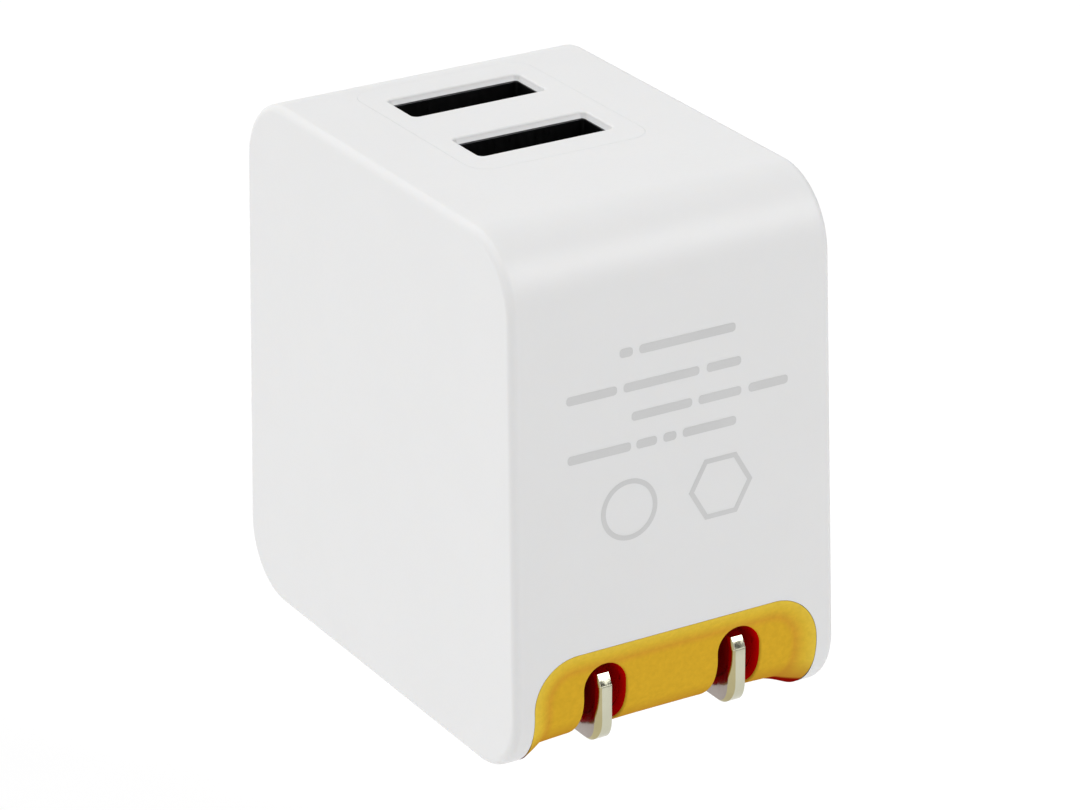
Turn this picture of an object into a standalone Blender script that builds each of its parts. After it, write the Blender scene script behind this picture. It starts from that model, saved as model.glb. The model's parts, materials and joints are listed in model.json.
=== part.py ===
"""Two-port USB wall charger with folding mains blades, built as separate parts.

The sizes below are in millimetres and the meshes are made in metres. +Z is up, X runs
across the case and the blades fold forwards, towards -Y. The origin is the centre of
the bottom face, which meets the wall plate in use. The ports are in the top face.
"""

import math

import bmesh
import bpy
from mathutils import Vector

MM = 0.001
GAP = 0.3  # clearance between neighbouring parts

# Case: a rounded block that widens slightly towards its bottom, as a moulding does.
HEIGHT = 45.6
TOP_WIDTH = 29.3
TOP_DEPTH = 43.5
SIDE_DRAFT = 0.0131  # growth of each side per mm of height
FACE_DRAFT = 0.0262  # growth of the front and of the back per mm of height
CORNER_R = 6.1  # rounding of the outline seen from the side
EDGE_R = 0.7
WALL = 1.8

# Base cover: the coloured insert that closes the bottom and forms the finger scoop.
OPENING_HALF = 13.4
SCOOP_TOP = 10.3
SCOOP_CORNER_R = 4.1
SCOOP_DEPTH = 0.8
SCOOP_BLEND = 1.8
SCOOP_END_Y = -10.0  # the scoop runs out on the bottom face here
BASE_BACK_Y = 16.5
BASE_WALL = 2.0
SLOT_HALF = 2.0
SLOT_TOP = 8.5
SLOT_BACK_Y = 5.2
WELL_WALL = 0.6

# Folding blades, on the standard pitch of a two-blade mains plug.
BLADE_PITCH = 12.7
BLADE_THICK = 1.5
BLADE_WIDTH = 6.35
BLADE_OUT = 17.5  # how far the blades stand out of the wall face in use
BLADE_HOLE_R = 1.55
BLADE_HOLE_Z = 11.7  # from the wall face to the middle of the blade's hole
PIVOT_Y = 0.5
PIVOT_Z = 5.2
BLADE_REACH = PIVOT_Z + BLADE_OUT
BLADE_TOP = 2.3  # the folded blade's upper edge, above the pivot
BLADE_BOTTOM = BLADE_TOP - BLADE_WIDTH
PIN_R = 1.0
PIN_HALF = 12.2
DRUM_R = 2.9
DRUM_FLAT = 2.5

# Ports: two upright USB sockets behind one panel in the top face.
PORT_PITCH = 10.8
PORT_CENTRE_Y = 4.85
PORT_MOUTH = (12.3, 4.85)
PORT_RIM = 0.8
PANEL_SIZE = (16.5, 21.4)
PANEL_R = 2.0
SOCKET_INSIDE = (12.5, 5.12)
SOCKET_SHEET = 0.3
SOCKET_TOP = HEIGHT - PORT_RIM - GAP
TONGUE_TOP = HEIGHT - 4.4
TONGUE_SIZE = (11.1, 1.84)
CONTACT_PITCH = 2.2

# Circuit boards, both level.
BOARD_THICK = 1.2
MAIN_BOARD_Z = 12.0
PORT_BOARD_Z = 29.4
MAIN_TOP = MAIN_BOARD_Z + BOARD_THICK + GAP
PORT_TOP = PORT_BOARD_Z + BOARD_THICK + GAP

# Colour, roughness and metallic value of each material.
FINISHES = {
    "shell_white": ((0.83, 0.83, 0.82), 0.45, 0.0),
    "base_orange": ((0.66, 0.39, 0.04), 0.45, 0.0),
    "well_red": ((0.30, 0.01, 0.01), 0.5, 0.0),
    "blade_nickel": ((0.72, 0.71, 0.66), 0.25, 1.0),
    "carrier_grey": ((0.25, 0.26, 0.27), 0.5, 0.0),
    "steel": ((0.55, 0.55, 0.56), 0.3, 1.0),
    "bronze": ((0.62, 0.42, 0.22), 0.35, 1.0),
    "wire_red": ((0.55, 0.04, 0.03), 0.4, 0.0),
    "board_green": ((0.03, 0.18, 0.07), 0.4, 0.0),
    "insulation_film": ((0.75, 0.68, 0.45), 0.4, 0.0),
    "ferrite": ((0.06, 0.06, 0.065), 0.6, 0.0),
    "bobbin_black": ((0.03, 0.03, 0.03), 0.5, 0.0),
    "winding_yellow": ((0.80, 0.62, 0.10), 0.4, 0.0),
    "capacitor_black": ((0.04, 0.04, 0.05), 0.35, 0.0),
    "capacitor_green": ((0.05, 0.22, 0.14), 0.35, 0.0),
    "disc_blue": ((0.04, 0.16, 0.45), 0.4, 0.0),
    "component_black": ((0.025, 0.025, 0.028), 0.5, 0.0),
    "resistor_beige": ((0.70, 0.56, 0.38), 0.5, 0.0),
    "header_black": ((0.03, 0.03, 0.03), 0.5, 0.0),
    "socket_steel": ((0.10, 0.10, 0.11), 0.35, 1.0),
    "tongue_black": ((0.02, 0.02, 0.02), 0.5, 0.0),
    "contact_gold": ((0.85, 0.62, 0.25), 0.3, 1.0),
}


def clear_scene():
    for old in list(bpy.data.objects):
        bpy.data.objects.remove(old, do_unlink=True)


def finish_material(name):
    """The named Principled material, made once and then shared."""
    material = bpy.data.materials.get(name)
    if material is None:
        colour, roughness, metallic = FINISHES[name]
        material = bpy.data.materials.new(name)
        material.use_nodes = True
        shader = material.node_tree.nodes["Principled BSDF"]
        shader.inputs["Base Color"].default_value = (*colour, 1.0)
        shader.inputs["Roughness"].default_value = roughness
        shader.inputs["Metallic"].default_value = metallic
    return material


# Outlines: lists of two coordinates in millimetres.


def rounded_rectangle(width, height, radius, steps=4, centre=(0.0, 0.0)):
    points = []
    for corner, (sign_a, sign_b) in enumerate(((1, 1), (-1, 1), (-1, -1), (1, -1))):
        middle_a = centre[0] + sign_a * (width / 2 - radius)
        middle_b = centre[1] + sign_b * (height / 2 - radius)
        for step in range(steps + 1):
            angle = math.radians(90 * (corner + step / steps))
            points.append((middle_a + radius * math.cos(angle), middle_b + radius * math.sin(angle)))
    return points


def rectangle(width, height, centre=(0.0, 0.0)):
    signs = ((1, 1), (-1, 1), (-1, -1), (1, -1))
    return [(centre[0] + a * width / 2, centre[1] + b * height / 2) for a, b in signs]


def circle(radius, steps=24):
    turn = 2 * math.pi / steps
    return [(radius * math.cos(turn * step), radius * math.sin(turn * step)) for step in range(steps)]


def arc(centre, radius, start, end, steps):
    """Points on an arc from start to end degrees."""
    points = []
    for step in range(steps + 1):
        angle = math.radians(start + (end - start) * step / steps)
        points.append((centre[0] + radius * math.cos(angle), centre[1] + radius * math.sin(angle)))
    return points


# Solids: every one is a loft through rings of points, in millimetres.


def ring_at(outline, axis, position):
    """Stand an outline across an axis: it holds the other two axes in X, Y, Z order."""
    if axis == "x":
        return [(position, a, b) for a, b in outline]
    if axis == "y":
        return [(a, position, b) for a, b in outline]
    return [(a, b, position) for a, b in outline]


def loft(rings, wrap=False):
    """Join rings of equal count with quads. A wrapped loft closes on its first ring,
    and any other has its two ends capped."""
    mesh = bmesh.new()
    rows = [[mesh.verts.new(Vector(point) * MM) for point in ring] for ring in rings]
    pairs = list(zip(rows, rows[1:]))
    if wrap:
        pairs.append((rows[-1], rows[0]))
    else:
        mesh.faces.new(rows[0])
        mesh.faces.new(rows[-1])
    for row, following in pairs:
        for index, vertex in enumerate(row):
            after = (index + 1) % len(row)
            mesh.faces.new((vertex, row[after], following[after], following[index]))
    bmesh.ops.recalc_face_normals(mesh, faces=mesh.faces)
    return mesh


def prism(outline, axis, low, high):
    return loft([ring_at(outline, axis, low), ring_at(outline, axis, high)])


def box(low, high):
    outline = rectangle(high[0] - low[0], high[1] - low[1], ((low[0] + high[0]) / 2, (low[1] + high[1]) / 2))
    return prism(outline, "z", low[2], high[2])


def tube_prism(outside, inside, axis, low, high):
    """A straight prism with a hole right through it."""
    rings = [ring_at(outside, axis, low), ring_at(outside, axis, high)]
    rings += [ring_at(inside, axis, high), ring_at(inside, axis, low)]
    return loft(rings, wrap=True)


def turned(profile, axis="z", steps=24):
    """A solid of revolution about an axis, through (position, radius) pairs."""
    return loft([ring_at(circle(radius, steps), axis, position) for position, radius in profile])


# Objects.


def add_part(name, mesh, finish, place=(0.0, 0.0, 0.0), parent=None, smooth=True):
    data = bpy.data.meshes.new(name)
    mesh.to_mesh(data)
    mesh.free()
    data.materials.append(finish_material(finish))
    if smooth:
        data.shade_smooth()
        data.set_sharp_from_angle(angle=math.radians(35))
    part = bpy.data.objects.new(name, data)
    bpy.context.scene.collection.objects.link(part)
    part.location = Vector(place) * MM
    part.parent = parent
    return part


def add_cutter(name, mesh, parent=None):
    data = bpy.data.meshes.new(name)
    mesh.to_mesh(data)
    mesh.free()
    cutter = bpy.data.objects.new(name, data)
    bpy.context.scene.collection.objects.link(cutter)
    cutter.hide_render = True
    cutter.display_type = "WIRE"
    cutter.parent = parent
    return cutter


def combine(part, other, operation="DIFFERENCE"):
    modifier = part.modifiers.new(other.name, "BOOLEAN")
    modifier.operation = operation
    modifier.solver = "EXACT"
    modifier.object = other


# Case.


def half_width(z):
    return TOP_WIDTH / 2 + SIDE_DRAFT * (HEIGHT - z)


def half_depth(z):
    return TOP_DEPTH / 2 + FACE_DRAFT * (HEIGHT - z)


def side_outline(inset, steps):
    """The case's outline seen from the side, as (y, z), moved inwards by inset."""
    radius = CORNER_R - inset
    points = []
    for corner, (sign_y, sign_z) in enumerate(((1, 1), (-1, 1), (-1, -1), (1, -1))):
        middle_z = HEIGHT / 2 + sign_z * (HEIGHT / 2 - CORNER_R)
        for step in range(steps + 1):
            angle = math.radians(90 * (corner + step / steps))
            z = middle_z + radius * math.sin(angle)
            points.append((sign_y * (half_depth(z) - CORNER_R) + radius * math.cos(angle), z))
    return points


def case_solid(inset, edge_radius, steps, edge_steps):
    """The drafted block, moved inwards by inset, with rounded edges on both sides."""
    edge = []
    for step in range(edge_steps + 1):
        angle = math.radians(90 * step / edge_steps)
        edge.append((edge_radius * (1 - math.sin(angle)), edge_radius * (1 - math.cos(angle))))
    rings = []
    for side, stations in ((-1, edge), (1, edge[::-1])):
        for drop, back in stations:
            outline = side_outline(inset + drop, steps)
            rings.append([(side * (half_width(z) - inset - back), y, z) for y, z in outline])
    return loft(rings)


def scoop_outline(half, top, radius):
    """The scoop's mouth seen from the front, as (x, z), open past the case's bottom."""
    below = -2.0
    points = [(half, below)]
    points += arc((half - radius, top - radius), radius, 0, 90, 6)
    points += arc((radius - half, top - radius), radius, 90, 180, 6)
    points.append((-half, below))
    return points


def build_shell():
    shell = add_part("housing_shell", case_solid(0.0, EDGE_R, 8, 2), "shell_white")
    combine(shell, add_cutter("shell_cavity", case_solid(WALL, 0.4, 5, 1)))
    mouth = prism(scoop_outline(OPENING_HALF, SCOOP_TOP, SCOOP_CORNER_R), "y", -30.0, -15.0)
    combine(shell, add_cutter("shell_scoop_mouth", mouth))
    floor = box((-OPENING_HALF, -15.5, -2.0), (OPENING_HALF, BASE_BACK_Y, 3.5))
    combine(shell, add_cutter("shell_floor_opening", floor))
    outline = rounded_rectangle(
        PANEL_SIZE[0] + 2 * GAP, PANEL_SIZE[1] + 2 * GAP, PANEL_R + GAP, 4, (0.0, PORT_CENTRE_Y)
    )
    combine(shell, add_cutter("shell_panel_hole", prism(outline, "z", HEIGHT - 2 * WALL, HEIGHT + 2.0)))


def build_port_panel():
    """The white plate round both ports, with a flange under the shell's top wall."""
    flange_top = HEIGHT - WALL - GAP
    flange_low = flange_top - 1.3
    centre = (0.0, PORT_CENTRE_Y)
    plate = rounded_rectangle(*PANEL_SIZE, PANEL_R, 4, centre)
    flange = rounded_rectangle(PANEL_SIZE[0] + 3.0, PANEL_SIZE[1] + 3.0, PANEL_R + 1.5, 4, centre)
    rings = [ring_at(flange, "z", flange_low), ring_at(flange, "z", flange_top)]
    rings += [ring_at(plate, "z", flange_top), ring_at(plate, "z", HEIGHT)]
    panel = add_part("port_panel", loft(rings), "shell_white")
    pocket_size = [inside + 2 * (SOCKET_SHEET + GAP) for inside in SOCKET_INSIDE]
    for name, y in port_places():
        mouth = prism(rectangle(*PORT_MOUTH, (0.0, y)), "z", HEIGHT - 2.0, HEIGHT + 1.0)
        combine(panel, add_cutter(f"panel_mouth_{name}", mouth))
        pocket = prism(rectangle(*pocket_size, (0.0, y)), "z", flange_low - 1.0, HEIGHT - PORT_RIM)
        combine(panel, add_cutter(f"panel_pocket_{name}", pocket))


def port_places():
    return (("rear", PORT_CENTRE_Y + PORT_PITCH / 2), ("front", PORT_CENTRE_Y - PORT_PITCH / 2))


# Base cover.


def base_path(top_z):
    """Stations down the front face, round the bottom corner and back along the bottom.

    Each is the point (y, z) on the case's surface, the inward normal and the distance
    from the scoop's top edge."""
    stations = []
    travelled = SCOOP_TOP - GAP - top_z
    front_steps = 5
    corner_steps = 7
    for step in range(front_steps):
        z = top_z + (CORNER_R - top_z) * step / front_steps
        stations.append(((-half_depth(z), z), (1.0, 0.0), travelled + top_z - z))
    travelled += top_z - CORNER_R
    for step in range(corner_steps + 1):
        angle = math.radians(90 * step / corner_steps)
        z = CORNER_R * (1 - math.sin(angle))
        y = -(half_depth(z) - CORNER_R) - CORNER_R * math.cos(angle)
        inward = (math.cos(angle), math.sin(angle))
        stations.append(((y, z), inward, travelled + CORNER_R * math.radians(90) * step / corner_steps))
    travelled += CORNER_R * math.radians(90)
    flat_start = stations[-1][0][0]
    for y in (-15.0, -13.0, SCOOP_END_Y, BASE_BACK_Y - GAP):
        stations.append(((y, 0.0), (0.0, 1.0), travelled + y - flat_start))
    return stations


def smooth_step(value):
    value = min(max(value, 0.0), 1.0)
    return value * value * (3 - 2 * value)


def scoop_drop(x, travelled, scoop_end):
    """How far the scoop's surface lies below the case's outline."""
    half = OPENING_HALF - GAP
    radius = SCOOP_CORNER_R - GAP
    across = abs(x) - (half - radius)
    above = radius - travelled
    if across > 0 and above > 0:
        margin = radius - math.hypot(across, above)
    else:
        margin = min(half - abs(x), travelled)
    run_out = smooth_step((scoop_end - travelled) / 6.0)
    return SCOOP_DEPTH * smooth_step(margin / SCOOP_BLEND) * run_out


def base_section(x):
    """The base cover's closed section at one x, as (x, y, z) points."""
    half = OPENING_HALF - GAP
    radius = SCOOP_CORNER_R - GAP
    across = max(abs(x) - (half - radius), 0.0)
    top_z = SCOOP_TOP - GAP - radius + math.sqrt(radius**2 - across**2)
    stations = base_path(top_z)
    scoop_end = stations[-2][2]
    outer = []
    inner = []
    for (y, z), (inward_y, inward_z), travelled in stations:
        drop = scoop_drop(x, travelled, scoop_end)
        outer.append((x, y + inward_y * drop, z + inward_z * drop))
        inner.append((x, y + inward_y * BASE_WALL, z + inward_z * BASE_WALL))
    return outer + inner[::-1]


def slot_arch(x, half, low, steps=8):
    """A blade slot's arched opening seen from the front, from low up to its round top."""
    arch = [(x + half, low)]
    arch += arc((x, SLOT_TOP - SLOT_HALF), half, 0, 180, steps)
    arch.append((x - half, low))
    return arch


def build_base_cover():
    half = OPENING_HALF - GAP
    right = [half - inset for inset in (0.0, 0.25, 0.8, 1.4, 2.0, 2.8, 3.8)]
    stations = [-x for x in right] + right[::-1]
    base = add_part("base_cover", loft([base_section(x) for x in stations]), "base_orange")
    for name, side in (("left", -1), ("right", 1)):
        x = side * BLADE_PITCH / 2
        arch = slot_arch(x, SLOT_HALF, -2.0)
        combine(base, add_cutter(f"slot_mouth_{name}", prism(arch, "y", -26.0, -12.0)))
        slot = box((x - SLOT_HALF, -12.5, -2.0), (x + SLOT_HALF, SLOT_BACK_Y, 4.0))
        combine(base, add_cutter(f"slot_floor_{name}", slot))


def build_prong_wells():
    """Arched channels behind the slots, which keep the folded blades off the electronics."""
    low = BASE_WALL + GAP
    front_y = -half_depth(low) + BASE_WALL + 2 * GAP
    back_y = PIVOT_Y + BLADE_BOTTOM - GAP
    corner_y = CORNER_R - half_depth(CORNER_R)
    corner = [(-30.0, -5.0), (-30.0, CORNER_R)]
    corner += arc((corner_y, CORNER_R), CORNER_R - BASE_WALL - GAP, 180, 270, 8)
    corner.append((corner_y, -5.0))
    corner_cutter = add_cutter("well_corner", prism(corner, "x", -20.0, 20.0))
    for name, side in (("left", -1), ("right", 1)):
        x = side * BLADE_PITCH / 2
        channel = slot_arch(x, SLOT_HALF + WELL_WALL, low) + slot_arch(x, SLOT_HALF, low)[::-1]
        well = add_part(f"prong_well_{name}", prism(channel, "y", front_y, back_y), "well_red")
        combine(well, corner_cutter)


# Folding prongs. They are modelled folded, about an empty on the hinge line.


def blade_outline():
    """The folded blade seen from the side, as (y, z) from the hinge line."""
    tip = -BLADE_REACH
    points = [(tip + 0.75, BLADE_TOP), (tip + 0.3, BLADE_TOP - 0.9), (tip, BLADE_TOP - 2.6)]
    points += arc((tip + 1.9, BLADE_BOTTOM + 1.9), 1.9, 180, 270, 4)
    heel_radius = -BLADE_BOTTOM
    heel_end = math.degrees(math.asin(BLADE_TOP / heel_radius))
    points += arc((0.0, 0.0), heel_radius, -90, heel_end, 9)
    return points


def build_prongs():
    hinge = bpy.data.objects.new("prong_hinge_line", None)
    bpy.context.scene.collection.objects.link(hinge)
    hinge.location = Vector((0.0, PIVOT_Y, PIVOT_Z)) * MM
    pin_hole = prism(circle(PIN_R + GAP, 20), "x", -20.0, 20.0)
    pin_cutter = add_cutter("blade_pin_hole", pin_hole, hinge)
    hole_y = -(PIVOT_Z + BLADE_HOLE_Z)
    hole_z = (BLADE_TOP + BLADE_BOTTOM) / 2
    hole = [(hole_y + a, hole_z + b) for a, b in circle(BLADE_HOLE_R, 16)]
    hole_cutter = add_cutter("blade_mains_hole", prism(hole, "x", -20.0, 20.0), hinge)
    outline = blade_outline()
    for name, side in (("left", -1), ("right", 1)):
        x = side * BLADE_PITCH / 2
        mesh = prism(outline, "x", x - BLADE_THICK / 2, x + BLADE_THICK / 2)
        blade = add_part(f"blade_{name}", mesh, "blade_nickel", parent=hinge)
        combine(blade, pin_cutter)
        combine(blade, hole_cutter)
        near = BLADE_PITCH / 2 + BLADE_THICK / 2 + GAP
        ends = sorted((side * near, side * (near + 1.2)))
        collar = tube_prism(circle(2.3, 20), circle(PIN_R + GAP, 20), "x", *ends)
        add_part(f"spacer_{name}", collar, "carrier_grey", parent=hinge)
    drum = []
    for a, b in circle(DRUM_R, 40):
        drum.append((min(a, DRUM_FLAT), min(b, DRUM_FLAT)))
    drum_half = BLADE_PITCH / 2 - BLADE_THICK / 2 - GAP
    carrier = tube_prism(drum, circle(PIN_R + GAP, 40), "x", -drum_half, drum_half)
    add_part("prong_carrier", carrier, "carrier_grey", parent=hinge)
    chamfer = 0.2
    pin = [(-PIN_HALF, PIN_R - chamfer), (chamfer - PIN_HALF, PIN_R)]
    pin += [(PIN_HALF - chamfer, PIN_R), (PIN_HALF, PIN_R - chamfer)]
    add_part("pivot_pin", turned(pin, "x", 20), "steel", parent=hinge)


def build_prong_supports():
    """What holds the prongs and takes their current: it stays with the case."""
    steps = 24
    reach = 2.8
    square = []
    for a, b in circle(1.0, steps):
        stretch = reach / max(abs(a), abs(b))
        square.append((PIVOT_Y + a * stretch, PIVOT_Z + b * stretch))
    eye = [(PIVOT_Y + a, PIVOT_Z + b) for a, b in circle(PIN_R + GAP, steps)]
    near = BLADE_PITCH / 2 + BLADE_THICK / 2 + 2 * GAP + 1.2
    for name, side in (("left", -1), ("right", 1)):
        ends = sorted((side * near, side * (near + 2.3)))
        add_part(f"bearing_block_{name}", tube_prism(square, eye, "x", *ends), "carrier_grey")
        x = side * BLADE_PITCH / 2
        touch_y = PIVOT_Y - BLADE_BOTTOM + GAP
        sheet = 0.35
        bend_z = 9.6
        spring = [(touch_y, 3.0), (touch_y + sheet, 3.0), (touch_y + sheet, bend_z - sheet)]
        spring += [(10.0, bend_z - sheet), (10.0, bend_z), (touch_y, bend_z)]
        add_part(f"contact_spring_{name}", prism(spring, "x", x - 1.5, x + 1.5), "bronze", smooth=False)
        route = ((10.4, 9.3), (13.0, 9.25), (15.6, 9.35), (16.9, 9.9), (17.4, 10.8), (17.45, 11.7))
        add_lead(f"input_lead_{name}", [(x, y, z) for y, z in route])
    leaf_low = PIVOT_Z + DRUM_R + GAP
    leaf = [(-4.5, leaf_low + 0.9), (-1.5, leaf_low), (2.5, leaf_low), (7.0, leaf_low + 0.9)]
    leaf += [(7.0, leaf_low + 1.25), (2.5, leaf_low + 0.35), (-1.5, leaf_low + 0.35), (-4.5, leaf_low + 1.25)]
    add_part("detent_leaf", prism(leaf, "x", -3.2, 3.2), "steel", smooth=False)


def add_lead(name, points):
    """An insulated wire along a smooth route."""
    curve = bpy.data.curves.new(name, "CURVE")
    curve.dimensions = "3D"
    curve.bevel_depth = 0.6 * MM
    curve.bevel_resolution = 2
    curve.use_fill_caps = True
    spline = curve.splines.new("POLY")
    spline.points.add(len(points) - 1)
    for spline_point, point in zip(spline.points, points):
        spline_point.co = (*(Vector(point) * MM), 1.0)
    curve.materials.append(finish_material("wire_red"))
    lead = bpy.data.objects.new(name, curve)
    bpy.context.scene.collection.objects.link(lead)


# Power board.


def build_main_board():
    board = rounded_rectangle(24.4, 37.6, 1.0, 2)
    board_top = MAIN_BOARD_Z + BOARD_THICK
    add_part("main_board", prism(board, "z", MAIN_BOARD_Z, board_top), "board_green", smooth=False)
    film = rounded_rectangle(25.0, 32.4, 1.5, 3, (0.0, -1.0))
    add_part("insulation_sheet", prism(film, "z", 10.4, 10.75), "insulation_film", smooth=False)


def build_transformer():
    place = (0.0, -4.0, MAIN_TOP)
    core_height = 14.0
    core = add_part(
        "transformer_core",
        box((-8.0, -2.5, 0.6), (8.0, 2.5, 0.6 + core_height)),
        "ferrite",
        place,
        smooth=False,
    )
    window_low = 2.8
    window_high = core_height - 1.6
    for name, side in (("left", -1), ("right", 1)):
        xs = sorted((side * 2.5, side * 6.0))
        window = add_cutter(f"core_window_{name}", box((xs[0], -4.0, window_low), (xs[1], 4.0, window_high)))
        window.location = Vector(place) * MM
        combine(core, window)
    low = window_low + GAP
    high = window_high - GAP
    tube = rectangle(6.7, 6.7)
    bore = rectangle(5.6, 5.6)
    flange = rectangle(11.4, 14.4)
    flange_thick = 0.8
    rings = [ring_at(bore, "z", low), ring_at(flange, "z", low), ring_at(flange, "z", low + flange_thick)]
    rings += [ring_at(tube, "z", low + flange_thick), ring_at(tube, "z", high - flange_thick)]
    rings += [ring_at(flange, "z", high - flange_thick), ring_at(flange, "z", high), ring_at(bore, "z", high)]
    add_part("transformer_bobbin", loft(rings, wrap=True), "bobbin_black", place, smooth=False)
    outside = rounded_rectangle(11.2, 13.6, 2.4, 4)
    inside = rounded_rectangle(7.3, 7.3, 0.2, 4)
    ends = (low + flange_thick + GAP, high - flange_thick - GAP)
    add_part("transformer_winding", tube_prism(outside, inside, "z", *ends), "winding_yellow", place)


def capacitor(name, finish, radius, height, place):
    """An upright can with the rolled groove near its sealed end."""
    profile = [(0.0, radius - 0.4), (0.3, radius), (1.6, radius), (2.0, radius - 0.45), (2.4, radius)]
    profile += [(height - 0.4, radius), (height, radius - 0.5)]
    add_part(name, turned(profile, "z", 24), finish, place)


def build_power_parts():
    for side, name in ((-1, "left"), (1, "right")):
        capacitor(f"input_capacitor_{name}", "capacitor_black", 4.2, 14.5, (side * 7.6, 10.9, MAIN_TOP))
        capacitor(f"output_capacitor_{name}", "capacitor_green", 3.6, 13.0, (side * 7.8, -15.2, MAIN_TOP))
    fuse = [(0.0, 1.2), (0.4, 1.7), (1.6, 1.7), (2.2, 1.4), (7.8, 1.4), (8.4, 1.7), (9.6, 1.7), (10.0, 1.2)]
    add_part("fuse_resistor", turned(fuse, "z", 20), "resistor_beige", (0.0, 9.6, MAIN_TOP + 0.5))
    choke = [(0.0, 3.0), (1.0, 3.0), (1.3, 2.3), (5.7, 2.3), (6.0, 3.0), (7.0, 3.0)]
    add_part("output_choke", turned(choke, "z", 24), "ferrite", (0.0, -15.2, MAIN_TOP))
    disc = [(-1.3, 2.2), (-0.9, 3.3), (0.0, 3.6), (0.9, 3.3), (1.3, 2.2)]
    add_part("safety_capacitor", turned(disc, "x", 24), "disc_blue", (10.4, 0.5, MAIN_TOP + 4.2))
    blocks = (
        ("bridge_rectifier", (4.0, 6.4, 2.8), (-10.2, 2.0)),
        ("controller_chip", (4.0, 5.0, 1.5), (-10.4, -4.6)),
        ("feedback_coupler", (4.4, 4.8, 3.6), (10.2, -6.4)),
    )
    for name, (width, depth, height), (x, y) in blocks:
        chamfer = 0.25
        lower = rectangle(width, depth)
        upper = rectangle(width - 2 * chamfer, depth - 2 * chamfer)
        rings = [ring_at(lower, "z", 0.0), ring_at(lower, "z", height - chamfer), ring_at(upper, "z", height)]
        add_part(name, loft(rings), "component_black", (x, y, MAIN_TOP), smooth=False)


def build_link_header():
    """Four square pins in a plastic bar, which carry the output up to the port board."""
    bar_low = 6.0
    bar = box((-4.8, -1.2, bar_low), (4.8, 1.2, bar_low + 2.4))
    place = (0.0, 16.0, MAIN_TOP)
    header = add_part("link_header", bar, "header_black", place, smooth=False)
    pin_top = PORT_BOARD_Z - GAP - MAIN_TOP
    for index in range(4):
        x = (index - 1.5) * 2.54
        pin = add_cutter(f"header_pin_{index + 1}", box((x - 0.32, -0.32, 0.0), (x + 0.32, 0.32, pin_top)))
        pin.location = Vector(place) * MM
        combine(header, pin, "UNION")


# Port board.


def build_port_board():
    board = rounded_rectangle(23.0, 25.0, 1.0, 2, (0.0, PORT_CENTRE_Y))
    board_top = PORT_BOARD_Z + BOARD_THICK
    add_part("port_board", prism(board, "z", PORT_BOARD_Z, board_top), "board_green", smooth=False)
    chip = rectangle(4.4, 3.6)
    chip_top = rectangle(4.0, 3.2)
    rings = [ring_at(chip, "z", 0.0), ring_at(chip, "z", 1.0), ring_at(chip_top, "z", 1.3)]
    add_part("charge_chip", loft(rings), "component_black", (0.0, PORT_CENTRE_Y, PORT_TOP), smooth=False)


def build_sockets():
    outside = [inside + 2 * SOCKET_SHEET for inside in SOCKET_INSIDE]
    tongue_y = 0.75
    for name, y in port_places():
        place = (0.0, y, 0.0)
        outline = rounded_rectangle(*outside, 0.6, 3)
        bore = rounded_rectangle(*SOCKET_INSIDE, 0.3, 3)
        shell = tube_prism(outline, bore, "z", PORT_TOP, SOCKET_TOP)
        add_part(f"usb_shell_{name}", shell, "socket_steel", place)
        block = rectangle(11.8, 4.4)
        tongue = rectangle(*TONGUE_SIZE, (0.0, tongue_y))
        tip = rectangle(TONGUE_SIZE[0] - 0.8, TONGUE_SIZE[1] - 0.6, (0.0, tongue_y))
        block_top = PORT_TOP + 3.2
        rings = [ring_at(block, "z", PORT_TOP), ring_at(block, "z", block_top)]
        rings += [ring_at(tongue, "z", block_top), ring_at(tongue, "z", TONGUE_TOP - 0.5)]
        rings.append(ring_at(tip, "z", TONGUE_TOP))
        add_part(f"usb_tongue_{name}", loft(rings), "tongue_black", place, smooth=False)
        face_y = tongue_y - TONGUE_SIZE[1] / 2 - GAP
        for index in range(4):
            x = (index - 1.5) * CONTACT_PITCH
            low = block_top + GAP
            strip = [(face_y - 0.25, low), (face_y, low), (face_y, TONGUE_TOP - 1.2)]
            strip += [(face_y - 0.2, TONGUE_TOP - 0.8), (face_y - 0.45, TONGUE_TOP - 0.9)]
            strip.append((face_y - 0.25, TONGUE_TOP - 1.3))
            contact = prism(strip, "x", x - 0.5, x + 0.5)
            add_part(f"usb_contact_{name}_{index + 1}", contact, "contact_gold", place, smooth=False)


def main():
    clear_scene()
    build_shell()
    build_port_panel()
    build_base_cover()
    build_prong_wells()
    build_prongs()
    build_prong_supports()
    build_main_board()
    build_transformer()
    build_power_parts()
    build_link_header()
    build_port_board()
    build_sockets()


main()
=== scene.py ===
"""Looks of the two-port USB wall charger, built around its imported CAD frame.

Sizes are in millimetres, and MM turns them into metres. The frame's own boxes give the
places; the named sizes below are those that a box can't show.
"""

import json
import math

import bmesh
import bpy
from mathutils import Matrix, Vector, geometry


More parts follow.
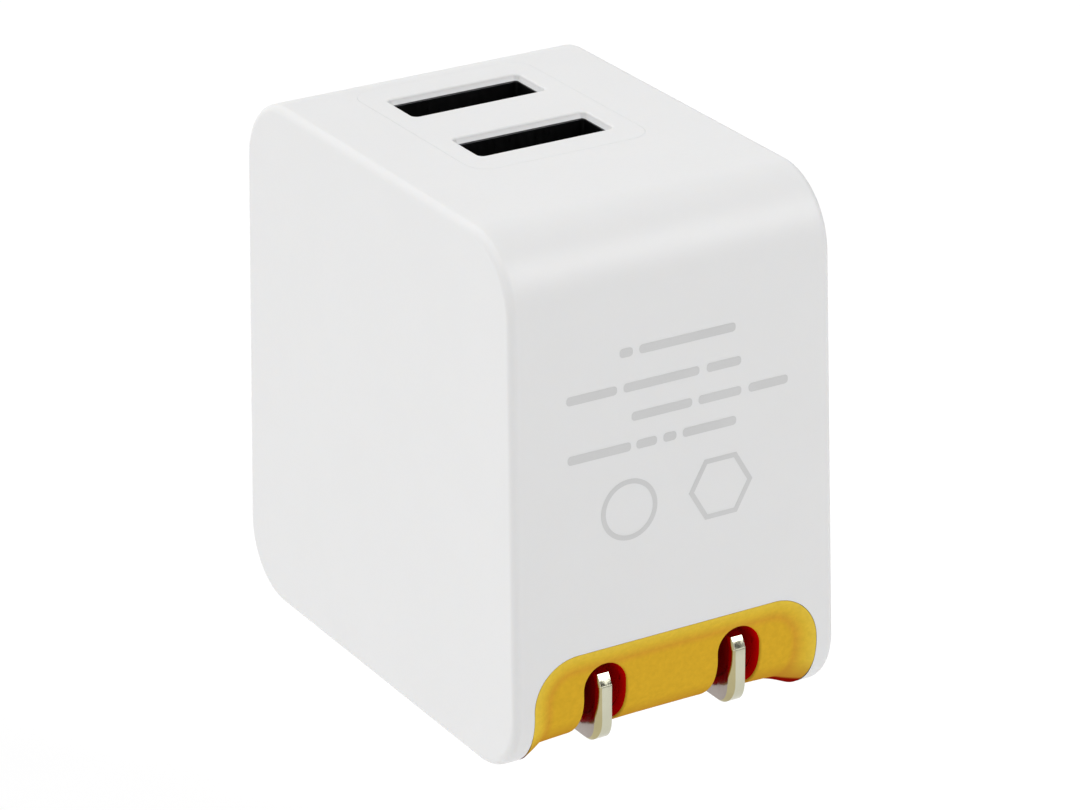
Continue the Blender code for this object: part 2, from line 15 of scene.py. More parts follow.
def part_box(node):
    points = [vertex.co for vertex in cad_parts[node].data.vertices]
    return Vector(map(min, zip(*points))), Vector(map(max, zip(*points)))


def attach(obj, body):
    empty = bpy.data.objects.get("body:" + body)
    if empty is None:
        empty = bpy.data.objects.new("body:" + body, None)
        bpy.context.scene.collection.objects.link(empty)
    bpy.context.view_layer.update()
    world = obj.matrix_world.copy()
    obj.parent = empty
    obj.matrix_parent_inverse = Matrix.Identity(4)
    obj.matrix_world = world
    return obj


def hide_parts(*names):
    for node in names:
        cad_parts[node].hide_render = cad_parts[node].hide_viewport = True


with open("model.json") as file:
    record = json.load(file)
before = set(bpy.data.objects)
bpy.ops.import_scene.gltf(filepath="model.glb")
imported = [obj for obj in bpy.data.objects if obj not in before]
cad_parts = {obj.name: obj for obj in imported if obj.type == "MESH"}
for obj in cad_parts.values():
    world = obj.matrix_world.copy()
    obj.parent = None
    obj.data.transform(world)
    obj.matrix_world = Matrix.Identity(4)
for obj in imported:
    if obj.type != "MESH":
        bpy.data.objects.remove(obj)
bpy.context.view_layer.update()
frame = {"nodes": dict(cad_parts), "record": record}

MM = 0.001


def node_box(node):
    """A CAD node's lowest and highest corner at rest, in millimetres."""
    low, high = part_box(node)
    return Vector(low) / MM, Vector(high) / MM


SHELL_LOW, SHELL_HIGH = node_box("housing_shell")
PANEL_LOW, _ = node_box("port_panel")
_, BASE_HIGH = node_box("base_cover")
BLADE_LOW, BLADE_HIGH = node_box("blade_right")
PIN_LOW, PIN_HIGH = node_box("pivot_pin")

CAD_GAP = 0.3  # between neighbouring CAD nodes
CLEAR = 2.0  # how far a cutter runs past a face
FAR = 30.0  # in front of the case
CUT_HALF_X = 20.0  # half the length of cutters along X

# Case: a rounded block with a little moulding draft.
HEIGHT = SHELL_HIGH.z
SIDE_DRAFT = 0.0131
FACE_DRAFT = 0.0262
CORNER_R = 6.1
EDGE_R = 0.7
WALL = 1.8
CAVITY_EDGE_R = 0.4
TOP_WIDTH = 29.3
TOP_DEPTH = 43.5
SHELL_EDGE_R = 0.1  # round the openings

# Base cover with its finger scoop.
SEAM = 0.035  # the gap between the fine pieces
LOW_SEAM = 0.25  # more of a gap, beside the scoop's lower corners
LOW_SEAM_X = 9.5  # where that gap starts to grow
LOW_SEAM_WIDTH = 3.5  # and over how much of X it grows
LOW_SEAM_RUN = (0.2, 0.5)  # where, and over how much of the bottom rounding it grows
OPENING_HALF = BASE_HIGH.x + CAD_GAP
SCOOP_TOP = BASE_HIGH.z + CAD_GAP
SCOOP_CORNER_R = 4.1
SCOOP_DEPTH = 0.75
SCOOP_LOW_DEPTH = 1.14  # round the bottom corner
SCOOP_DEEPENS = 0.7  # share of the bottom rounding over which it gets that deep
SCOOP_END_RISE = 0.3  # share of its depth that the scoop loses towards its ends
SLOPE_WIDTH = 1.7
SCOOP_CREASE = 0.14  # how far the crease at the slope's foot is rounded, as a share of the slope
SCOOP_END_Y = -15.6
SCOOP_RUN_OUT = 3.2
BASE_FRONT_Y = -16.0
BASE_BACK_Y = BASE_HIGH.y + CAD_GAP
BASE_CORNER_R = 0.8
BASE_WALL = 2.0
BASE_CUT_Z = 3.5
MOUTH_CUT_Y = -15.0
BASE_SPACING = 0.45  # between the mesh's inner points
BASE_MARGIN = 0.3  # between those points and the outline
OUTLINE_SPACING = 0.5
MERGE_DISTANCE = 1e-5
ON_EDGE = 0.01  # closer than this to a slot's outline counts as on it
SLOT_HALF = 2.0
SLOT_TOP = 8.5
SLOT_BACK_Y = 5.2
SLOT_EDGE_R = 0.2
SLOT_SPACING = 0.6
SLOT_MARGIN = 0.15  # between the mesh's inner points and the slot's rounded edge
WELL_GAP = 0.05
WELL_FRONT_GAP = 0.01
WELL_WALL = 0.6
WELL_CUT_Z = -5.0

# Blades.
BLADE_X = (BLADE_LOW.x + BLADE_HIGH.x) / 2
BLADE_HALF = (BLADE_HIGH.x - BLADE_LOW.x) / 2
PIVOT = (PIN_LOW + PIN_HIGH) / 2
TIP_FACE = ((0.62, 0.0), (0.06, 0.85), (0.0, 0.97))  # its upper end as (back, down)
TIP_FACE_LOW = 2.6  # above the blade's lower edge
TIP_TOP_START = 0.9  # back from the tip
TIP_RADII = (2.2, 2.4)
# Chamfers as (along the flank, across the thickness): down the tip, its curve, elsewhere.
TIP_CHAMFERS = ((0.35, 0.24), (0.75, 0.30))
CURVE_CHAMFER = (0.15, 0.15)
EDGE_CHAMFER = (0.12, 0.12)
CHAMFER_PROFILE = ((1.0, 0.0), (0.88, 0.06), (0.06, 0.86), (0.0, 1.0))
FLANK_NORMAL = 0.98  # faces turned this far sideways are flanks
CHAMFER_NORMAL = 0.6  # and these are chamfers
HOLE_REACH = 11.7  # from the bottom face to the hole, with the blades open
HOLE_R = 1.55
PIVOT_HOLE_R = 1.05

# Ports.
PORT_PITCH = 10.8
PORT_CENTRE_Y = 4.85
PORT_MOUTH = (12.1, 4.3)
MOUTH_SHIFT_Y = 0.05
PORT_RIM = 0.5
PORT_FLARE = 0.2
PORT_EDGE_R = 0.22
PORT_CUT = (1.0, 3.0)  # above and below the panel's face
MOUTH_R = 0.3
POCKET_SIZE = (13.3, 5.92)
POCKET_R = 0.6
POCKET_CLEAR = 1.0
SOCKET_PLAY = (0.16, 0.2)
SOCKET_DROP = 0.1
SOCKET_SHEET = 0.3
SOCKET_BEVEL = 0.08
PANEL_SEAM = 0.01
PANEL_SIZE = (16.5, 21.4)
PANEL_R = 2.0
PANEL_FLANGE = 1.5

# Print on the front: rows of bars as (height of the middle, (start, length) of each bar).
PRINT_ROWS = (
    (35.05, ((-5.0, 1.2), (-3.2, 8.9))),
    (32.1, ((-9.9, 4.6), (-4.7, 7.0), (3.0, 3.2))),
    (29.55, ((-4.0, 5.6), (2.2, 4.0), (6.9, 3.7))),
    (27.1, ((-9.9, 5.8), (-3.6, 1.9), (-1.1, 1.2), (0.7, 5.0))),
)
BAR_HEIGHT = 0.75
BAR_R = 0.3
RING_CENTRE = (-4.35, 21.75)
RING_RADII = (2.6, 2.18)
HEXAGON_CENTRE = (4.2, 21.75)
HEXAGON_RADII = (3.0, 2.517)  # to the corners
INK_THICKNESS = 0.015
INK_SINK = 0.01

# Studio.
FLOOR_GLOW = 0.74
FLOOR_DROP = 30.0
FLOOR_HALF = 3000.0
FLOOR_TONES = ((0.29, 0.29, 0.29), (0.31, 0.31, 0.31))
FLOOR_GRAIN = 40.0
SKY_LEVEL = 0.5
SKY_LEAST = 0.05
SKY_TILT = (-0.74, 0.72, 0.22)  # towards the palest part of the sky
LIGHT_DISTANCE = 800.0
LIGHT_TARGET = (0.0, 0.0, 20.0)
# Each light is (name, direction it comes from, side, watts).
LIGHTS = (
    ("key_softbox", (0.4, -0.63, 0.66), 400.0, 2.9),
    ("top_softbox", (0.0, 0.05, 1.0), 400.0, 0.95),
    ("low_card", (0.46, -0.85, 0.25), 200.0, 0.2),
)

# Camera: azimuth, elevation and roll in degrees, then its place right of, above and behind
# the origin, along its own axes.
CAMERA_ANGLES = (-30.45, 23.55, -0.52)
CAMERA_OFFSET = (0.45, 19.65, 395.5)
CAMERA_LENS = 155.3
CAMERA_SENSOR = 36.0
CAMERA_CLIP = 10.0


# ---------------------------------------------------------------- materials

# The amber cover's colours, by how far down the scoop's slope they lie: 1 is the crease.
# Paler on the slope is painted light and darker at the crease is painted shade.
# Low down two more take over, each from the higher to the lower height of its range.
AMBER_PAINTED_SHADING = (
    (0.08, (0.73, 0.51, 0.055)),
    (0.50, (0.69, 0.455, 0.040)),
    (1.00, (0.62, 0.325, 0.030)),
    (1.30, (0.65, 0.385, 0.026)),
)
SHARE_RANGE = 1.5
AMBER_MOTTLE = 0.05
# Painted shade low on the cover: a darker amber over the bottom rounding, then red on the underside.
AMBER_LOW_SHADE = (0.48, 0.215, 0.022)
AMBER_LOW_SHADE_Z = (1.6, 4.0)
UNDERSIDE_SHADE_RED = (0.22, 0.003, 0.001)
UNDERSIDE_SHADE_Z = (1.4, 1.75)
COVER_SPECULAR = 0.0


def new_material(name):
    """An empty node material with a Principled shader, and its parts."""
    material = bpy.data.materials.new(name)
    material.use_nodes = True
    tree = material.node_tree
    return material, tree, tree.nodes["Principled BSDF"]


def object_coordinates(tree, stretch=(1.0, 1.0, 1.0)):
    """Object coordinates, stretched, as the socket that textures read."""
    source = tree.nodes.new("ShaderNodeTexCoord")
    mapping = tree.nodes.new("ShaderNodeMapping")
    mapping.inputs["Scale"].default_value = stretch
    tree.links.new(source.outputs["Object"], mapping.inputs["Vector"])
    return mapping.outputs["Vector"]


def noise(tree, vector, size_mm, detail=3.0, roughness=0.5):
    """Noise whose features are about size_mm across."""
    texture = tree.nodes.new("ShaderNodeTexNoise")
    texture.inputs["Scale"].default_value = 1.0 / (size_mm * MM)
    texture.inputs["Detail"].default_value = detail
    texture.inputs["Roughness"].default_value = roughness
    tree.links.new(vector, texture.inputs["Vector"])
    return texture.outputs["Fac"]


def remap(tree, value, low, high, start=0.3, end=0.7):
    """Spread a value that lies between start and end over low to high."""
    node = tree.nodes.new("ShaderNodeMapRange")
    node.inputs["From Min"].default_value = start
    node.inputs["From Max"].default_value = end
    node.inputs["To Min"].default_value = low
    node.inputs["To Max"].default_value = high
    tree.links.new(value, node.inputs["Value"])
    return node.outputs["Result"]


def mix_colours(tree, factor, first, second):
    node = tree.nodes.new("ShaderNodeMix")
    node.data_type = "RGBA"
    tree.links.new(factor, node.inputs["Factor"])
    for socket, colour in ((node.inputs[6], first), (node.inputs[7], second)):
        if isinstance(colour, bpy.types.NodeSocket):
            tree.links.new(colour, socket)
        else:
            socket.default_value = (*colour, 1.0)
    return node.outputs[2]


def add_bump(tree, shader, height, distance_mm, strength=1.0):
    bump = tree.nodes.new("ShaderNodeBump")
    bump.inputs["Distance"].default_value = distance_mm * MM
    bump.inputs["Strength"].default_value = strength
    tree.links.new(height, bump.inputs["Height"])
    tree.links.new(bump.outputs["Normal"], shader.inputs["Normal"])


def plastic(
    name, colour, roughness, spread=0.04, grain_mm=0.12, grain_depth=0.004, glow=0.0, specular=0.5
):
    """Moulded plastic: fine spark-eroded grain, slow tone drift and uneven gloss."""
    material, tree, shader = new_material(name)
    vector = object_coordinates(tree)
    drift = noise(tree, vector, 6.0, 2.0)
    speck = noise(tree, vector, 0.35, 4.0, 0.6)
    darker = [part * (1 - spread) for part in colour]
    lighter = [min(part * (1 + spread * 0.6), 0.98) for part in colour]
    toned = mix_colours(tree, remap(tree, drift, 0.0, 1.0), darker, lighter)
    flecked = [part * (1 - spread * 1.2) for part in colour]
    factor = remap(tree, speck, 0.0, 0.35, 0.45, 0.75)
    tree.links.new(mix_colours(tree, factor, toned, flecked), shader.inputs["Base Color"])
    gloss = remap(tree, speck, roughness - 0.05, roughness + 0.06)
    tree.links.new(gloss, shader.inputs["Roughness"])
    shader.inputs["Specular IOR Level"].default_value = specular
    if glow:
        shader.inputs["Subsurface Weight"].default_value = glow
        shader.inputs["Subsurface Radius"].default_value = (1.0, 0.8, 0.6)
        shader.inputs["Subsurface Scale"].default_value = 0.4 * MM
    add_bump(tree, shader, noise(tree, vector, grain_mm, 2.0), grain_depth)
    return material


def metal(name, colour, roughness, brush=(1.0, 1.0, 1.0), spread=0.12, brush_mm=0.25, depth=0.003):
    """Metal with a brushed or rolled grain that runs along the least stretched axis."""
    material, tree, shader = new_material(name)
    shader.inputs["Metallic"].default_value = 1.0
    vector = object_coordinates(tree, brush)
    lines = noise(tree, vector, brush_mm, 3.0, 0.6)
    stain = noise(tree, object_coordinates(tree), 2.5, 3.0)
    darker = [part * (1 - spread) for part in colour]
    lighter = [min(part * (1 + spread * 0.5), 0.98) for part in colour]
    toned = mix_colours(tree, remap(tree, stain, 0.0, 1.0), darker, lighter)
    tree.links.new(toned, shader.inputs["Base Color"])
    gloss = remap(tree, lines, max(roughness - 0.08, 0.05), roughness + 0.08)
    tree.links.new(gloss, shader.inputs["Roughness"])
    add_bump(tree, shader, lines, depth)
    return material


def cover_plastic(name):
    """Amber plastic with painted light and shade: paler at the scoop's edge, darker in its crease and low
    down, red on the underside as painted shade.
    """
    material, tree, shader = new_material(name)
    vector = object_coordinates(tree)
    share = tree.nodes.new("ShaderNodeAttribute")
    share.attribute_name = "scoop_share"
    ramp = tree.nodes.new("ShaderNodeValToRGB")
    stops = ramp.color_ramp.elements
    while len(stops) < len(AMBER_PAINTED_SHADING):
        stops.new(1.0)
    for stop, (position, colour) in zip(stops, AMBER_PAINTED_SHADING):
        stop.position = position / SHARE_RANGE
        stop.color = (*colour, 1.0)
    tree.links.new(remap(tree, share.outputs["Fac"], 0.0, 1.0, 0.0, SHARE_RANGE), ramp.inputs["Fac"])
    mottle = noise(tree, vector, 0.5, 4.0, 0.65)
    grey = remap(tree, mottle, 1 - AMBER_MOTTLE, 1 + AMBER_MOTTLE, 0.35, 0.65)
    mottled = tree.nodes.new("ShaderNodeVectorMath")
    mottled.operation = "SCALE"
    tree.links.new(ramp.outputs["Color"], mottled.inputs[0])
    tree.links.new(grey, mottled.inputs["Scale"])
    split = tree.nodes.new("ShaderNodeSeparateXYZ")
    tree.links.new(vector, split.inputs["Vector"])
    tone = mottled.outputs["Vector"]
    # Painted shade: darker amber low down, then red on the underside.
    for colour, (low, high) in ((AMBER_LOW_SHADE, AMBER_LOW_SHADE_Z), (UNDERSIDE_SHADE_RED, UNDERSIDE_SHADE_Z)):
        amount = remap(tree, split.outputs["Z"], 1.0, 0.0, low * MM, high * MM)
        tone = mix_colours(tree, amount, tone, colour)
    tree.links.new(tone, shader.inputs["Base Color"])
    tree.links.new(remap(tree, mottle, 0.5, 0.62), shader.inputs["Roughness"])
    shader.inputs["Specular IOR Level"].default_value = COVER_SPECULAR
    add_bump(tree, shader, noise(tree, vector, 0.12, 2.0), 0.004)
    return material


def laminate(name):
    """Green solder mask with copper tracks showing through as paler bands."""
    material, tree, shader = new_material(name)
    vector = object_coordinates(tree)
    weave = noise(tree, vector, 0.3, 2.0)
    tracks = tree.nodes.new("ShaderNodeTexBrick")
    tracks.inputs["Scale"].default_value = 1.0 / (9.0 * MM)
    tracks.inputs["Mortar Size"].default_value = 0.09
    tracks.inputs["Color1"].default_value = (0.018, 0.11, 0.035, 1.0)
    tracks.inputs["Color2"].default_value = (0.022, 0.13, 0.042, 1.0)
    tracks.inputs["Mortar"].default_value = (0.05, 0.24, 0.08, 1.0)
    tree.links.new(vector, tracks.inputs["Vector"])
    factor = remap(tree, weave, 0.0, 0.3)
    toned = mix_colours(tree, factor, tracks.outputs["Color"], (0.012, 0.07, 0.022))
    tree.links.new(toned, shader.inputs["Base Color"])
    tree.links.new(remap(tree, weave, 0.28, 0.42), shader.inputs["Roughness"])
    add_bump(tree, shader, tracks.outputs["Fac"], 0.03)
    return material


def taped_winding(name):
    """Yellow tape wound in level turns, seen as bands round the coil."""
    material, tree, shader = new_material(name)
    vector = object_coordinates(tree)
    bands = tree.nodes.new("ShaderNodeTexWave")
    bands.bands_direction = "Z"
    bands.inputs["Scale"].default_value = 1.0 / (6.0 * MM)
    bands.inputs["Distortion"].default_value = 0.6
    tree.links.new(vector, bands.inputs["Vector"])
    toned = mix_colours(tree, bands.outputs["Fac"], (0.62, 0.42, 0.05), (0.80, 0.60, 0.09))
    tree.links.new(toned, shader.inputs["Base Color"])
    tree.links.new(remap(tree, noise(tree, vector, 1.0), 0.25, 0.45), shader.inputs["Roughness"])
    add_bump(tree, shader, bands.outputs["Fac"], 0.02)
    return material


BLADE_GRAIN = {"brush": (1.0, 1.0, 0.2), "brush_mm": 0.4, "depth": 0.0006}
SHEET_GRAIN = {"brush": (1.0, 1.0, 0.15)}

MATERIALS = {
    "shell_white": plastic(
        "shell_white", (0.74, 0.74, 0.74), 0.43, spread=0.006, grain_mm=0.15, grain_depth=0.0015, glow=0.15
    ),
    "base_orange": cover_plastic("base_orange"),
    # Deep red that stands in for the shade inside the slots: painted shade.
    "well_red": plastic("well_red", (0.72, 0.001, 0.001), 0.6, spread=0.1, grain_depth=0.005, specular=0.0),
    "blade_nickel": metal("blade_nickel", (0.54, 0.53, 0.41), 0.13, spread=0.05, **BLADE_GRAIN),
    "carrier_grey": plastic("carrier_grey", (0.20, 0.21, 0.22), 0.5, spread=0.1),
    "steel": metal("steel", (0.55, 0.55, 0.56), 0.3, brush=(0.1, 1.0, 1.0)),
    "bronze": metal("bronze", (0.62, 0.40, 0.20), 0.33, brush=(1.0, 0.15, 1.0)),
    "wire_red": plastic("wire_red", (0.50, 0.02, 0.015), 0.35, spread=0.1),
    "board_green": laminate("board_green"),
    "insulation_film": plastic(
        "insulation_film", (0.70, 0.58, 0.30), 0.3, spread=0.1, grain_mm=0.8, grain_depth=0.01
    ),
    "ferrite": plastic("ferrite", (0.05, 0.05, 0.054), 0.62, spread=0.25, grain_mm=0.08, grain_depth=0.01),
    "bobbin_black": plastic("bobbin_black", (0.022, 0.022, 0.022), 0.5, spread=0.2),
    "winding_yellow": taped_winding("winding_yellow"),
    "capacitor_black": plastic("capacitor_black", (0.025, 0.025, 0.03), 0.3, spread=0.2, grain_mm=0.5),
    "capacitor_green": plastic("capacitor_green", (0.02, 0.13, 0.08), 0.3, spread=0.2, grain_mm=0.5),
    "disc_blue": plastic(
        "disc_blue", (0.02, 0.10, 0.36), 0.35, spread=0.15, grain_mm=0.4, grain_depth=0.02
    ),
    "component_black": plastic(
        "component_black", (0.02, 0.02, 0.022), 0.55, spread=0.3, grain_mm=0.1, grain_depth=0.008
    ),
    "resistor_beige": plastic(
        "resistor_beige", (0.62, 0.47, 0.30), 0.45, spread=0.12, grain_mm=0.3, grain_depth=0.01
    ),
    "header_black": plastic("header_black", (0.022, 0.022, 0.022), 0.5, spread=0.2),
    # Near-black steel: painted shade for the deep inside of the sockets.
    "socket_steel": metal("socket_steel", (0.055, 0.055, 0.057), 0.35, **SHEET_GRAIN),
    "tongue_black": plastic("tongue_black", (0.008, 0.008, 0.008), 0.6, spread=0.2, specular=0.2),
    "contact_gold": metal("contact_gold", (0.83, 0.60, 0.24), 0.25, **SHEET_GRAIN),
}
# Copies of the blade nickel chosen by facing: a darker golden one on the chamfers as a painted reflection,
# a darker one on the flanks as painted shade.
BLADE_CHAMFER_REFLECTION = metal("blade_chamfer_reflection", (0.42, 0.37, 0.20), 0.1, spread=0.1, **BLADE_GRAIN)
BLADE_FLANK_SHADE = metal("blade_flank_shade", (0.33, 0.285, 0.255), 0.18, spread=0.06, **BLADE_GRAIN)
# Dark grey for the shell's cut walls round the cover: painted shade in the gap.
SEAM_SHADE = plastic("seam_shade", (0.12, 0.12, 0.12), 0.6, spread=0.1, specular=0.2)
# Paler steel for the faces at the socket's mouth: a painted glint.
SOCKET_GLINT = metal("socket_glint", (0.14, 0.14, 0.145), 0.5, brush=(0.2, 1.0, 1.0))
PRINT_GREY = plastic(
    "print_grey", (0.585, 0.585, 0.585), 0.5, spread=0.03, grain_mm=0.1, grain_depth=0.001
)


# ---------------------------------------------------------------- outlines


def rounded_rectangle(width, height, radius, steps=8, centre=(0.0, 0.0)):
    points = []
    for corner, (sign_a, sign_b) in enumerate(((1, 1), (-1, 1), (-1, -1), (1, -1))):
        middle_a = centre[0] + sign_a * (width / 2 - radius)
        middle_b = centre[1] + sign_b * (height / 2 - radius)
        for step in range(steps + 1):
            angle = math.radians(90 * (corner + step / steps))
            points.append((middle_a + radius * math.cos(angle), middle_b + radius * math.sin(angle)))
    return points


def circle(radius, steps=48, centre=(0.0, 0.0)):
    turn = 2 * math.pi / steps
    return [
        (centre[0] + radius * math.cos(turn * step), centre[1] + radius * math.sin(turn * step))
        for step in range(steps)
    ]


def arc(centre, radius, start, end, steps):
    """Points on an arc from start to end degrees."""
    points = []
    for step in range(steps + 1):
        angle = math.radians(start + (end - start) * step / steps)
        points.append((centre[0] + radius * math.cos(angle), centre[1] + radius * math.sin(angle)))
    return points


def smooth_step(value):
    value = min(max(value, 0.0), 1.0)
    return value * value * (3 - 2 * value)


# ---------------------------------------------------------------- meshes


def ring_at(outline, axis, position):
    """Stand an outline across an axis: it holds the other two axes in X, Y, Z order."""
    if axis == "x":
        return [(position, a, b) for a, b in outline]
    if axis == "y":
        return [(a, position, b) for a, b in outline]
    return [(a, b, position) for a, b in outline]


def loft(rings, wrap=False, into=None):
    """Join rings of equal count with quads, capped at both ends unless it wraps."""
    mesh = into or bmesh.new()
    rows = [[mesh.verts.new(Vector(point) * MM) for point in ring] for ring in rings]
    pairs = list(zip(rows, rows[1:]))
    if wrap:
        pairs.append((rows[-1], rows[0]))
    else:
        mesh.faces.new(rows[0])
        mesh.faces.new(rows[-1])
    for row, following in pairs:
        for index, vertex in enumerate(row):
            after = (index + 1) % len(row)
            mesh.faces.new((vertex, row[after], following[after], following[index]))
    return mesh


def prism(outline, axis, low, high, into=None):
    return loft([ring_at(outline, axis, low), ring_at(outline, axis, high)], into=into)


def make_object(name, mesh, *materials):
    bmesh.ops.recalc_face_normals(mesh, faces=mesh.faces)
    data = bpy.data.meshes.new(name)
    mesh.to_mesh(data)
    mesh.free()
    for material in materials:
        data.materials.append(material)
    made = bpy.data.objects.new(name, data)
    bpy.context.scene.collection.objects.link(made)
    return made


def apply_modifiers(piece):
    """Bake the modifier stack into the mesh, so the cutters can go."""
    depsgraph = bpy.context.evaluated_depsgraph_get()
    baked = bpy.data.meshes.new_from_object(piece.evaluated_get(depsgraph))
    piece.modifiers.clear()
    piece.data = baked


def cut(piece, *cutters, operation="DIFFERENCE"):
    """Cut the meshes out of a piece at once, then remove the cutters."""
    for cutter in cutters:
        modifier = piece.modifiers.new("cut", "BOOLEAN")
        modifier.operation = operation
        modifier.solver = "EXACT"
        modifier.material_mode = "TRANSFER"
        modifier.object = cutter
    apply_modifiers(piece)
    for cutter in cutters:
        bpy.data.objects.remove(cutter, do_unlink=True)


def soften(piece, width_mm, segments=2, angle=35.0):
    """Round the piece's sharp edges by the width, if any, and smooth its shading."""
    if width_mm:
        bevel = piece.modifiers.new("edge_round", "BEVEL")
        bevel.width = width_mm * MM
        bevel.segments = segments
        bevel.limit_method = "ANGLE"
        bevel.angle_limit = math.radians(angle)
        bevel.use_clamp_overlap = True
    piece.data.shade_smooth()
    piece.data.set_sharp_from_angle(angle=math.radians(60))
    weighted = piece.modifiers.new("even_normals", "WEIGHTED_NORMAL")
    weighted.keep_sharp = True
    weighted.weight = 90


# ---------------------------------------------------------------- case


def half_width(z):
    return TOP_WIDTH / 2 + SIDE_DRAFT * (HEIGHT - z)


def half_depth(z):
    return TOP_DEPTH / 2 + FACE_DRAFT * (HEIGHT - z)


def side_outline(inset, steps):
    """The case's outline seen from the side, as (y, z), moved inwards by inset."""
    radius = CORNER_R - inset
    points = []
    for corner, (sign_y, sign_z) in enumerate(((1, 1), (-1, 1), (-1, -1), (1, -1))):
        middle_z = HEIGHT / 2 + sign_z * (HEIGHT / 2 - CORNER_R)
        for step in range(steps + 1):
            angle = math.radians(90 * (corner + step / steps))
            z = middle_z + radius * math.sin(angle)
            points.append((sign_y * (half_depth(z) - CORNER_R) + radius * math.cos(angle), z))
    return points


def case_solid(inset, edge_radius, steps, edge_steps):
    """The drafted block, moved inwards by inset, with rounded edges on both sides."""
    edge = []
    for step in range(edge_steps + 1):
        angle = math.radians(90 * step / edge_steps)
        edge.append((edge_radius * (1 - math.sin(angle)), edge_radius * (1 - math.cos(angle))))
    rings = []
    for side, stations in ((-1, edge), (1, edge[::-1])):
        for drop, back in stations:
            outline = side_outline(inset + drop, steps)
            rings.append([(side * (half_width(z) - inset - back), y, z) for y, z in outline])
    return loft(rings)


def scoop_mouth(half, top, radius, steps=24):
    """The scoop's opening on the front face, as (x, z), open at the bottom."""
    points = [(half, -CLEAR)]
    points += arc((half - radius, top - radius), radius, 0, 90, steps)
    points += arc((radius - half, top - radius), radius, 90, 180, steps)
    points.append((-half, -CLEAR))
    return points


def build_shell():
    """The hollow case, with openings for the base cover and the port panel."""
    white = MATERIALS["shell_white"]
    shell = make_object("shell_skin", case_solid(0.0, EDGE_R, 28, 6), white)
    cavity = make_object("cutter", case_solid(WALL, CAVITY_EDGE_R, 12, 2), white)
    mouth = prism(scoop_mouth(OPENING_HALF, SCOOP_TOP, SCOOP_CORNER_R), "y", -FAR, MOUTH_CUT_Y)
    outline = rounded_rectangle(
        OPENING_HALF * 2,
        BASE_BACK_Y - BASE_FRONT_Y,
        BASE_CORNER_R,
        6,
        (0.0, (BASE_BACK_Y + BASE_FRONT_Y) / 2),
    )
    floor = prism(outline, "z", -CLEAR, BASE_CUT_Z)
    panel_outline = rounded_rectangle(
        PANEL_SIZE[0] + 2 * PANEL_SEAM,
        PANEL_SIZE[1] + 2 * PANEL_SEAM,
        PANEL_R + PANEL_SEAM,
        10,
        (0.0, PORT_CENTRE_Y),
    )
    hole = prism(panel_outline, "z", HEIGHT - 2 * WALL, HEIGHT + CLEAR)
    # The walls cut by the scoop's mouth and the bottom opening take the dark grey: painted shade.
    cutters = [make_object("cutter", mesh, SEAM_SHADE) for mesh in (mouth, floor)]
    cutters.append(make_object("cutter", hole, white))
    cut(shell, cavity, *cutters)
    soften(shell, SHELL_EDGE_R)
    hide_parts("housing_shell")
    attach(shell, "case")


def port_places():
    middle = PORT_CENTRE_Y + MOUTH_SHIFT_Y
    return (("rear", middle + PORT_PITCH / 2), ("front", middle - PORT_PITCH / 2))


def port_outline(size, grow, y):
    """A mouth's outline, grown evenly by grow, round the middle of the port at y."""
    width, depth = (side + 2 * grow for side in size)
    return rounded_rectangle(width, depth, MOUTH_R + grow, 6, (0.0, y))


def build_port_panel():
    """The plate round both ports, with drawn-in mouths and pockets for the sockets, the pockets' walls
    painted black as shade.
    """
    white = MATERIALS["shell_white"]
    centre = (0.0, PORT_CENTRE_Y)
    plate = rounded_rectangle(*PANEL_SIZE, PANEL_R, 10, centre)
    flange_size = [side + 2 * PANEL_FLANGE for side in PANEL_SIZE]
    flange = rounded_rectangle(*flange_size, PANEL_R + PANEL_FLANGE, 10, centre)
    flange_top = HEIGHT - WALL - CAD_GAP
    rings = [ring_at(flange, "z", PANEL_LOW.z), ring_at(flange, "z", flange_top)]
    rings += [ring_at(plate, "z", flange_top), ring_at(plate, "z", HEIGHT)]
    panel = make_object("port_panel_skin", loft(rings), white)
    widest = PORT_FLARE + PORT_EDGE_R
    above, below = PORT_CUT
    profile = [(widest, above), (widest, 0.0)]
    for step in range(1, 6):
        angle = math.radians(90 * step / 5)
        profile.append((widest - PORT_EDGE_R * math.sin(angle), PORT_EDGE_R * (math.cos(angle) - 1)))
    profile += [(0.0, -PORT_RIM), (0.0, -below)]
    cutters = []
    for _, y in port_places():
        rings = []
        for grow, rise in profile:
            rings.append(ring_at(port_outline(PORT_MOUTH, grow, y), "z", HEIGHT + rise))
        cutters.append(make_object("cutter", loft(rings), white))
        pocket = rounded_rectangle(*POCKET_SIZE, POCKET_R, 5, (0.0, y))
        under = prism(pocket, "z", PANEL_LOW.z - POCKET_CLEAR, HEIGHT - PORT_RIM)
        # The pocket's cut walls take the black plastic: painted shade under the mouth's rim.
        cutters.append(make_object("cutter", under, MATERIALS["tongue_black"]))
    cut(panel, *cutters)
    soften(panel, 0.0)
    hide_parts("port_panel")
    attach(panel, "case")


